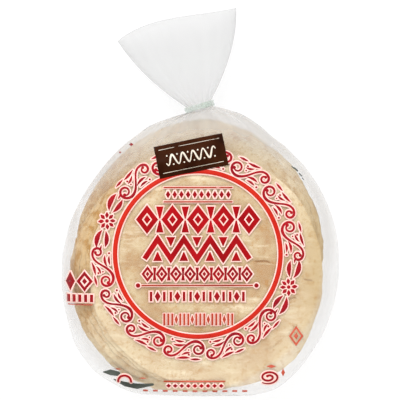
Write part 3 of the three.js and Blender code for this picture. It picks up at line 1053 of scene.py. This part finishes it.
def printed(name, shape, inked, lift):
    """A finished piece of print, laid lift mm over the film. Its shape is a flat mesh, or what
    such a mesh has to cover."""
    mesh = shape if isinstance(shape, bpy.types.Mesh) else flat_mesh(name, shape)
    film = bpy.data.objects["bag_film"].data
    surface = BVHTree.FromPolygons(
        [v.co for v in film.vertices], [p.vertices for p in film.polygons])
    for vertex in mesh.vertices:
        x, y, _ = vertex.co
        spot, normal, _, _ = surface.ray_cast(Vector((x, y, RAY_START)), Vector((0, 0, -1)))
        if spot is None:
            spot, normal, _, _ = surface.find_nearest(Vector((x, y, RIM_HEIGHT * MM)))
        vertex.co = spot + normal * (lift * MM)
    mesh.update()
    new_piece(name, mesh, *inked, wall=INK_WALL * MM)


def copies_tree():
    """Copies of one motif: a step apart in a level row, or turned about one place in groups,
    with a gap after each group."""
    tree, given = new_tree(
        "Printed Copies", Geometry="Motif", Int="Count, Group", Vector="Start",
        Float="Step, First Turn, Turn, Gap", Material="Material")
    step = add_node(tree, "ShaderNodeCombineXYZ", {"X": given["Step"]})
    line = add_node(tree, "GeometryNodeMeshLine", (given["Count"], given["Start"], step))
    index = add_node(tree, "GeometryNodeInputIndex")
    group = chained(tree, "ShaderNodeMath", index, ("DIVIDE", given["Group"]), ("FLOOR",))
    turn = given["First Turn"]
    for times, angle in ((index, given["Turn"]), (group, given["Gap"])):
        turn = add_node(tree, "ShaderNodeMath", (times, angle, turn), operation="MULTIPLY_ADD")
    spin = add_node(tree, "ShaderNodeCombineXYZ", {"Z": turn})
    copies = add_node(tree, "GeometryNodeInstanceOnPoints", {
        "Points": line, "Instance": given["Motif"], "Rotation": spin})
    whole = add_node(tree, "GeometryNodeRealizeInstances", (copies,))
    return finish_tree(tree, whole, given["Material"])


def copied(mesh, inked, start, count, values):
    """A flat mesh of so many copies of a motif, from this place on."""
    tree = bpy.data.node_groups.get("Printed Copies") or copies_tree()
    return run_nodes(tree, {"Group": 1, "Count": count, "Start": (*(start * MM), 0),
                            "Material": inked[0], **values}, mesh)


RING_CENTRE = on_top(197.3, 253.5)
RING_RADIUS = 82.75 * TOP_MM_PER_PIXEL
RING_WIDTH = 4.5 * TOP_MM_PER_PIXEL


def ring_pieces(grow):
    path = RING_CENTRE + RING_RADIUS * ways(np.radians(np.arange(361)))
    return stroke(path, (RING_WIDTH, RING_WIDTH), grow, closed=True)


class TORTILLAS_OT_ring(bpy.types.Operator):
    """Print the plain red ring on the film, with its pale edge"""

    bl_idname = "tortillas.ring"
    bl_label = "Printed Ring"

    def execute(self, context):
        printed("print_ring_edge", ring_pieces(HALO), ink("Pale Flexo Ink"), HALO_LIFT)
        printed("print_ring", ring_pieces(0), ink("Red Flexo Ink"), INK_LIFT)
        return {"FINISHED"}


# ---- the wreath: a running scroll with leaves, and two blossoms. Its motifs are drawn in mm
# along the ring and out from it, with headings in degrees from along to out.

WREATH_FOOT = 42.7  # mm from the ring's middle, where the wreath begins
WREATH_MIDDLE = 47.0
SCROLLS = 12
BLOSSOM_TURN = 32  # degrees of the ring that each of two blossoms takes
BLOSSOM_START = -20
SCROLL_SHIFT = 3.2  # degrees that a scroll's first curl reaches back
SCROLL_TURN = (360 - 2 * BLOSSOM_TURN) / SCROLLS

SCROLL_HEART = (5.6, 5.4)
# (heading, tightness, turning, widths, ball)
SCROLL_CURLS = ((-54, 0.0225, 8.4, (0.9, 1.45, 1.1, 0.85), 1.7),
                (126, 0.047, 7.2, (0.9, 1.2, 0.85), 1.45))
# (place, heading, length, width, bend)
SCROLL_LEAVES = (((7.4, 2.0), 160, 6.4, 1.35, 0.7), ((6.6, 0.6), 170, 5.2, 1.2, 0.5),
                 ((4.3, 9.5), -18, 6.2, 1.35, 0.5), ((6.3, 7.5), -38, 4.4, 1.15, 0.9),
                 ((10.4, 9.1), -2, 4.6, 1.2, 0.1))
SCROLL_DOTS = (((0.2, 0.8), 1.1), ((9.6, 6.9), 1.0), ((9.3, 4.6), 0.8))
BLOSSOM_HEART = (0, 4.7)
BLOSSOM_PETALS = 8
BLOSSOM_LEAVES = (((4.9, 5.6), 24, 9.0, 2.5, -0.9), ((4.9, 3.8), -20, 8.4, 2.3, 0.8),
                  ((12.0, 4.8), 6, 2.6, 0.9, 0.0))


def scroll(grow):
    """One repeat of the running scroll: an S with a curl at each end, leaves and dots."""
    pieces = []
    for heading, tightness, turning, widths, ball in SCROLL_CURLS:
        path = volute(SCROLL_HEART, heading, tightness, turning)
        pieces += stroke(path, widths, grow) + dot(path[-1], ball, grow)
    for place, heading, length, width, bend in SCROLL_LEAVES:
        pieces += leaf(place, heading, length, width, bend, grow)
    for place, width in SCROLL_DOTS:
        pieces += dot(place, width, grow)
    return pieces


def blossom(grow):
    """A round flower between two pairs of long leaves."""
    pieces = dot(BLOSSOM_HEART, 1.8, grow)
    for way in ways(2 * math.pi * (np.arange(BLOSSOM_PETALS) + 0.5) / BLOSSOM_PETALS):
        path = BLOSSOM_HEART + np.outer((1.5, 2.2, 3.0, 3.9), way)
        pieces += stroke(path, (0.3, 1.5, 1.9, 0.7), grow)
    for place, heading, length, width, bend in BLOSSOM_LEAVES:
        pieces += leaf(place, heading, length, width, bend, grow)
        pieces += leaf((-place[0], place[1]), 180 - heading, length, width, -bend, grow)
    return pieces


def round_the_ring(pieces):
    """Bends motifs round the ring's middle, starting along +X."""
    return [(WREATH_FOOT + piece[:, 1:]) * ways(piece[:, 0] / WREATH_MIDDLE) for piece in pieces]


# Motif, how many, and the degrees that it starts at, turns by, and skips after each group.
WREATH = (
    ("scrolls", scroll, SCROLLS, SCROLLS // 2,
     (BLOSSOM_START + BLOSSOM_TURN / 2 + SCROLL_SHIFT, SCROLL_TURN, BLOSSOM_TURN)),
    ("blossoms", blossom, 2, 1, (BLOSSOM_START, 180, 0)),
)


class TORTILLAS_OT_wreath(bpy.types.Operator):
    """Print the wreath of scrolls, leaves and blossoms round the ring"""

    bl_idname = "tortillas.wreath"
    bl_label = "Printed Wreath"

    def execute(self, context):
        pale, crimson = ink("Pale Flexo Ink"), ink("Crimson Flexo Ink")
        for label, motif, count, group, degrees in WREATH:
            turns = [math.radians(angle) for angle in degrees]
            values = {**dict(zip(("First Turn", "Turn", "Gap"), turns)), "Group": group}
            for part, grow, inked, lift in (("_edge", HALO, pale, FINE_HALO_LIFT),
                                            ("", 0, crimson, WREATH_LIFT)):
                name = "print_" + label + part
                mesh = flat_mesh(name, round_the_ring(motif(grow)))
                printed(name, copied(mesh, inked, RING_CENTRE, count, values), inked, lift)
        return {"FINISHED"}


# ---- rows of plain shapes. Their sizes and places are in pixels of the view, and each motif
# is drawn in mm about its own middle.

def px(size):
    """Pixels of the view as mm on top of the stack."""
    return np.multiply(size, TOP_MM_PER_PIXEL)


def disc(width, grow):
    return dot((0, 0), px(width), grow)


def bar(width, height, grow):
    return stroke(px(((-width / 2, 0), (width / 2, 0))), px((height, height)), grow,
                  round_ends=False)


def upright(height, widths, grow):
    """An upright shape with these widths from its top to its foot."""
    path = [(0, end) for end in np.linspace(height / 2, -height / 2, len(widths))]
    return stroke(px(path), px(widths), grow, round_ends=False)


def lozenge(width, height, grow):
    return upright(height, (0.1, width, 0.1), grow)


def hollow_lozenge(width, height, line, grow):
    """The outline of a diamond, with one more diamond inside it."""
    half_width, half_height = (width - 1.4 * line) / 2, (height - 1.4 * line) / 2
    corners = ((0, half_height), (-half_width, 0), (0, -half_height), (half_width, 0),
               (0, half_height))
    outline = stroke(px(corners), px((line, line)), grow, closed=True)
    return outline + lozenge(0.3 * width, 0.32 * height, grow)


def zigzag(width, height, line, turns, grow):
    xs = np.linspace(-width / 2, width / 2, turns + 1)
    ys = (height - line) / 2 * np.where(np.arange(turns + 1) % 2, 1, -1)
    return stroke(px(np.column_stack((xs, ys))), px((line, line)), grow, round_ends=False)


# Rows: motif, its sizes, the place of the first, the step to the next, and how many.
BIG_ROWS = (
    (hollow_lozenge, (23, 28, 4.8), (146.5, 219), 25.5, 5),
    (upright, (12, (7.5, 1.2)), (159.25, 212), 25.5, 4),
    (upright, (12, (1.2, 7.5)), (159.25, 226), 25.5, 4),
    (zigzag, (105, 25, 5.2, 8), (196.5, 248.5), 0, 1),
    (upright, (9, (0.8, 9)), (157.1, 256), 26.2, 4),
    (upright, (9, (9, 0.8)), (170.2, 241), 26.2, 3),
)
SMALL_ROWS = (
    (lozenge, (4.6, 7.5), (167.5, 194), 6.7, 10),
    (hollow_lozenge, (12.5, 15.5, 2.3), (147, 273.5), 14.2, 8),
    (upright, (13, (3.6, 1.6, 3.6)), (154.1, 273.5), 14.2, 7),
    (disc, (4.5,), (137.5, 285), 118.5, 2),
    (lozenge, (6, 10), (157.1, 296), 19.8, 5),
    (upright, (9.5, (2.6, 2.6)), (150.5, 296), 19.8, 5),
    (upright, (9.5, (2.6, 2.6)), (163.7, 296), 19.8, 5),
)
FINE_ROWS = (
    (bar, (69, 1.5), (197.5, 187), 0, 1),
    (bar, (69, 1.5), (197.5, 201.3), 0, 1),
    (bar, (111.5, 1.5), (196.75, 285), 0, 1),
    (upright, (12, (2.1, 2.1)), (163.8, 319), 16, 5),
    (upright, (12, (2.1, 2.1)), (167.8, 319), 16, 5),
    (upright, (12, (2.1, 2.1)), (171.8, 319), 16, 4),
    (lozenge, (3.4, 9), (175.8, 319), 16, 4),
)


def print_rows(jobs):
    """Pieces of print: name, rows, growth, ink and lift. Motifs are copied along their rows."""
    for name, rows, grow, inked, lift in jobs:
        whole = bmesh.new()
        for motif, sizes, first, step, count in rows:
            flat = flat_mesh(name, motif(*sizes, grow))
            whole.from_mesh(copied(flat, inked, on_top(*first), count,
                                   {"Step": float(px(step)) * MM}))
        mesh = bpy.data.meshes.new(name)
        whole.to_mesh(mesh)
        whole.free()
        printed(name, mesh, inked, lift)


class TORTILLAS_OT_rows(bpy.types.Operator):
    """Print the rows of plain diamonds, zigzags and bars inside the ring"""

    bl_idname = "tortillas.rows"
    bl_label = "Printed Rows"

    def execute(self, context):
        pale = ink("Pale Flexo Ink")
        print_rows((
            ("print_rows_edge", BIG_ROWS + SMALL_ROWS, HALO, pale, HALO_LIFT),
            ("print_fine_edge", FINE_ROWS, FINE_HALO, pale, FINE_HALO_LIFT),
            ("print_big_rows", BIG_ROWS, 0, ink("Deep Red Flexo Ink"), INK_LIFT),
            ("print_small_rows", SMALL_ROWS, 0, ink("Crimson Row Ink"), INK_LIFT),
            ("print_fine_rows", FINE_ROWS, 0, ink("Coral Flexo Ink"), INK_LIFT)))
        return {"FINISHED"}


# ---- brown label

LABEL_MIDDLE = on_top(190.5, 155.5)
LABEL_LENGTH = px(70)
LABEL_HEIGHT = px(32.5)
LABEL_TILT = math.radians(11.5)
WAVE_TURN = 42  # radians of the wavy line over the label's whole length
FIRST_DOT = -0.337  # in shares of that length, from its middle
DOT_STEP = 0.0748
RULE_REACH, RULE_PLACE = 0.44, 0.36  # shares of its length and height each way
RULE_WIDTH = 0.32
WAVE_REACH, WAVE_HEIGHT = 0.36, 0.15  # as those
DOT_PLACE = 0.14
DOT_WIDTH = 0.8


def on_label(along, across):
    """A place on the label, in shares of its length and height from the middle."""
    way = np.array((math.cos(LABEL_TILT), math.sin(LABEL_TILT)))
    up = np.array((-way[1], way[0]))
    return LABEL_MIDDLE + along * LABEL_LENGTH * way + across * LABEL_HEIGHT * up


def label_rule(reach, across, width):
    """A straight band across the label."""
    return stroke((on_label(-reach, across), on_label(reach, across)), (width, width),
                  round_ends=False)


def label_lines():
    """A wavy line with dots in its bends, between two thin rules."""
    pieces = label_rule(RULE_REACH, -RULE_PLACE, RULE_WIDTH)
    pieces += label_rule(RULE_REACH, RULE_PLACE, RULE_WIDTH)
    wave = [on_label(along, WAVE_HEIGHT * math.sin(WAVE_TURN * along))
            for along in np.linspace(-WAVE_REACH, WAVE_REACH, 90)]
    pieces += stroke(wave, (0.5, 0.95) * 4 + (0.5,))
    for k in range(10):
        along = FIRST_DOT + DOT_STEP * k
        pieces += dot(on_label(along, -DOT_PLACE * math.sin(WAVE_TURN * along)), DOT_WIDTH)
    return pieces


class TORTILLAS_OT_label(bpy.types.Operator):
    """Print the plain brown label that lies aslant over the top of the ring"""

    bl_idname = "tortillas.label"
    bl_label = "Printed Label"

    def execute(self, context):
        printed("print_label", label_rule(0.5, 0, LABEL_HEIGHT), ink("Brown Flexo Ink"), LABEL_LIFT)
        printed("print_label_lines", label_lines(), ink("Cream Label Ink"), LABEL_INK_LIFT)
        return {"FINISHED"}


# ---- small marks near the edges

def eddy(radius, turns, width, grow):
    """A spiral, wider than high, that winds in from the lower left to a ball."""
    turn = np.linspace(0, 2 * math.pi * turns, 60) - 2.2
    out = radius * np.linspace(1, 0.22, 60)
    path = px(out[:, None] * ways(turn) * (1, 0.66))
    return stroke(path, px((0.5 * width, width, width, width)), grow) + dot(
        path[-1], px(1.3 * width), grow)


def arch(radius, width, grow):
    """The upper half of a ring."""
    return stroke(px(radius * ways(np.linspace(0, math.pi, 25))), px((width, width)), grow)


# At the left edge one and a half hollow diamonds over bars; an arch, a row and an eddy at the end.
RED_MARKS = (
    (hollow_lozenge, (17, 20, 2.8), (84, 281), 0, 1),
    (lozenge, (10, 19), (69, 281), 0, 1),
    (upright, (7.5, (3.2, 3.2)), (67, 298), 6, 5),
    (lozenge, (5, 4), (168, 386), 6.6, 9),
    (arch, (6.5, 2.2), (123.5, 382.5), 0, 1),
    (eddy, (10.5, 1.7, 2.1), (268.5, 377.5), 0, 1),
)
RED_FLECKS = (
    (lozenge, (4.5, 3.5), (129.5, 143), 0, 1),
    (lozenge, (3, 2), (118, 151), 0, 1),
)
# A rule under the bars, one at the end of the bag and dashes below it, and two diamonds.
CORAL_MARKS = (
    (bar, (26, 1.2), (79, 304.5), 0, 1),
    (bar, (62, 1.6), (194, 381.5), 0, 1),
    (bar, (5, 2), (144.5, 391.5), 10, 11),
    (hollow_lozenge, (15, 20, 1.8), (296, 336), 0, 1),
    (lozenge, (4, 8), (283, 373), 0, 1),
    (lozenge, (10, 3.4), (271, 366.5), 0, 1),
    (lozenge, (9, 1.4), (117, 369.5), 0, 1),
    (lozenge, (9, 1.4), (142, 378.5), 0, 1),
)
# Dark slips along the lower left edge: places and widths.
SLATE_SLIPS = (
    (((102, 373.5), (109, 373.5), (117, 374.5)), (1.5, 6.5, 5)),
    (((113, 381), (124, 385.5), (136, 387.5), (152, 385)), (1.5, 5.5, 6, 2.5)),
)
# Flecks on the right shoulder: places and sizes.
SLATE_FLECKS = ((293.5, 166.5, 2.2), (296.5, 168.5, 3.0), (301, 174, 2.4), (303.5, 178, 1.6))


def slate_marks():
    pieces = []
    for path, widths in SLATE_SLIPS:
        pieces += stroke([on_top(*place) for place in path], px(widths))
    for x, y, size in SLATE_FLECKS:
        pieces += stroke((on_top(x - size / 2, y - size / 2), on_top(x + size / 2, y + size / 2)),
                         px((0.5 * size, 0.5 * size)))
    return pieces


class TORTILLAS_OT_marks(bpy.types.Operator):
    """Print the small marks that run over the edges of the bag"""

    bl_idname = "tortillas.marks"
    bl_label = "Printed Edge Marks"

    def execute(self, context):
        print_rows((
            ("print_marks_edge", RED_MARKS, HALO, ink("Pale Flexo Ink"), HALO_LIFT),
            ("print_marks", RED_MARKS + RED_FLECKS, 0, ink("Crimson Edge Ink"), INK_LIFT),
            ("print_fine_marks", CORAL_MARKS, 0, ink("Coral Edge Ink"), INK_LIFT)))
        printed("print_slate_marks", slate_marks(), ink("Slate Edge Ink"), SLATE_LIFT)
        return {"FINISHED"}


# ---- stage

FLOOR_REACH = 1600  # mm from the middle to the floor's sides
FLOOR_DROP = 0.2  # mm under the bag
DAYLIGHT = 0.88
FILM_BOUNCES = 48  # how many faces of clear film a ray may pass
# Name, place in m, size and power.
LAMPS = (("key", (-0.3, 0.8, 1.0), 0.8, 11.5), ("fill", (0.3, -0.8, 0.9), 0.9, 4))


class TORTILLAS_OT_stage(bpy.types.Operator):
    """Set up the white light table, the soft lights and the camera that looks straight down"""

    bl_idname = "tortillas.stage"
    bl_label = "Studio"

    def execute(self, context):
        scene = context.scene
        corners = [(x * FLOOR_REACH, y * FLOOR_REACH, -FLOOR_DROP)
                   for x, y in ((-1, -1), (1, -1), (1, 1), (-1, 1))]
        floor = bpy.data.objects.new("floor", new_mesh("floor", corners, [(0, 1, 2, 3)]))
        floor.data.materials.append(opal_acrylic())
        scene.collection.objects.link(floor)

        world = bpy.data.worlds.new("Studio")
        world.use_nodes = True
        background = world.node_tree.nodes["Background"]
        background.inputs["Color"].default_value = (1, 1, 1, 1)
        background.inputs["Strength"].default_value = DAYLIGHT
        scene.world = world

        for name, place, size, power in LAMPS:
            lamp = bpy.data.lights.new(name, "AREA")
            lamp.size = size
            lamp.energy = power
            light = bpy.data.objects.new(name, lamp)
            light.location = place
            light.rotation_euler = Vector(place).to_track_quat("Z", "Y").to_euler()
            scene.collection.objects.link(light)

        camera = bpy.data.objects.new("camera", bpy.data.cameras.new("camera"))
        distance = CAMERA_HEIGHT - STACK_HEIGHT / 2
        camera.data.sensor_width = SENSOR
        camera.data.lens = SENSOR * distance / (IMAGE_WIDTH * MM_PER_PIXEL)
        middle = (IMAGE_WIDTH - 1) / 2
        camera.location = (
            (middle - IMAGE_MIDDLE[0]) * MM_PER_PIXEL * MM,
            (IMAGE_MIDDLE[1] - middle) * MM_PER_PIXEL * MM, CAMERA_HEIGHT * MM)
        scene.collection.objects.link(camera)
        scene.camera = camera
        scene.view_settings.view_transform = "Standard"
        scene.cycles.transparent_max_bounces = FILM_BOUNCES
        return {"FINISHED"}


# ---- settings and panel

def length(name, description, default):
    return FloatProperty(name=name, description=description, default=default, min=0,
                         unit="LENGTH", subtype="DISTANCE")


def colour(name, description, hex_colour):
    return FloatVectorProperty(name=name, description=description, default=srgb(hex_colour),
                               size=4, min=0, max=1, subtype="COLOR")


class TortillaSizes(bpy.types.PropertyGroup):
    diameter: length("Tortilla Diameter", "Across one tortilla", TORTILLA_DIAMETER * MM)
    pitch: length("Tortilla Pitch", "From one tortilla to the next", TORTILLA_PITCH * MM)
    count: IntProperty(name="Tortillas", description="How many are in the stack",
                       default=TORTILLA_COUNT, min=2)
    film: length("Film Thickness", "Thickness of the film, drawn thicker than real", 0.1 * MM)
    wrinkle: length("Wrinkle Depth", "How far the slack of the film stands out", 0.6 * MM)


class TortillaColours(bpy.types.PropertyGroup):
    film: colour("Film", "What one face of the film lets through", "#FEFEFE")
    veil: colour("Veil", "The film's milkiness", "#E6E6E6")
    masa: colour("Masa", "Plain baked dough", "#B4926A")
    masa_light: colour("Light Masa", "The palest dough", "#CCB792")
    toast: colour("Toast", "Toasted freckles and rims", "#B07C38")
    ring: colour("Ring", "Bright red of the ring", "#C02A1A")
    rows: colour("Rows", "Deep red of the big shapes", "#8B020B")
    wreath: colour("Wreath", "Crimson of the wreath", "#8A101C")
    coral: colour("Coral", "Pale red of the fine lines", "#B0462F")
    halo: colour("Halo", "Pale edge of the red shapes", "#F9D2C8")
    label: colour("Label", "Brown of the label", "#3A1C0C")
    tape: colour("Tape", "Tape round the neck", "#CCD8CE")


OPERATORS = (TORTILLAS_OT_film, TORTILLAS_OT_stack, TORTILLAS_OT_band, TORTILLAS_OT_ring,
             TORTILLAS_OT_wreath, TORTILLAS_OT_rows, TORTILLAS_OT_label, TORTILLAS_OT_marks,
             TORTILLAS_OT_stage)


class TORTILLAS_PT_panel(bpy.types.Panel):
    """Sizes, colours and the steps that build the bag"""

    bl_idname = "TORTILLAS_PT_panel"
    bl_label = "Bag of Tortillas"
    bl_space_type = "VIEW_3D"
    bl_region_type = "UI"
    bl_category = "Tortillas"

    def draw(self, context):
        for group in (context.scene.tortilla_sizes, context.scene.tortilla_colours):
            for name in group.__annotations__:
                self.layout.prop(group, name)
        for operator in OPERATORS:
            self.layout.operator(operator.bl_idname)


CLASSES = (TortillaSizes, TortillaColours, *OPERATORS, TORTILLAS_PT_panel)


def register():
    for each in CLASSES:
        bpy.utils.register_class(each)
    bpy.types.Scene.tortilla_sizes = PointerProperty(type=TortillaSizes)
    bpy.types.Scene.tortilla_colours = PointerProperty(type=TortillaColours)


def unregister():
    del bpy.types.Scene.tortilla_colours
    del bpy.types.Scene.tortilla_sizes
    for each in reversed(CLASSES):
        bpy.utils.unregister_class(each)


def main():
    register()
    for operator in OPERATORS:
        group, name = operator.bl_idname.split(".")
        getattr(getattr(bpy.ops, group), name)()


if __name__ == "__main__":
    main()
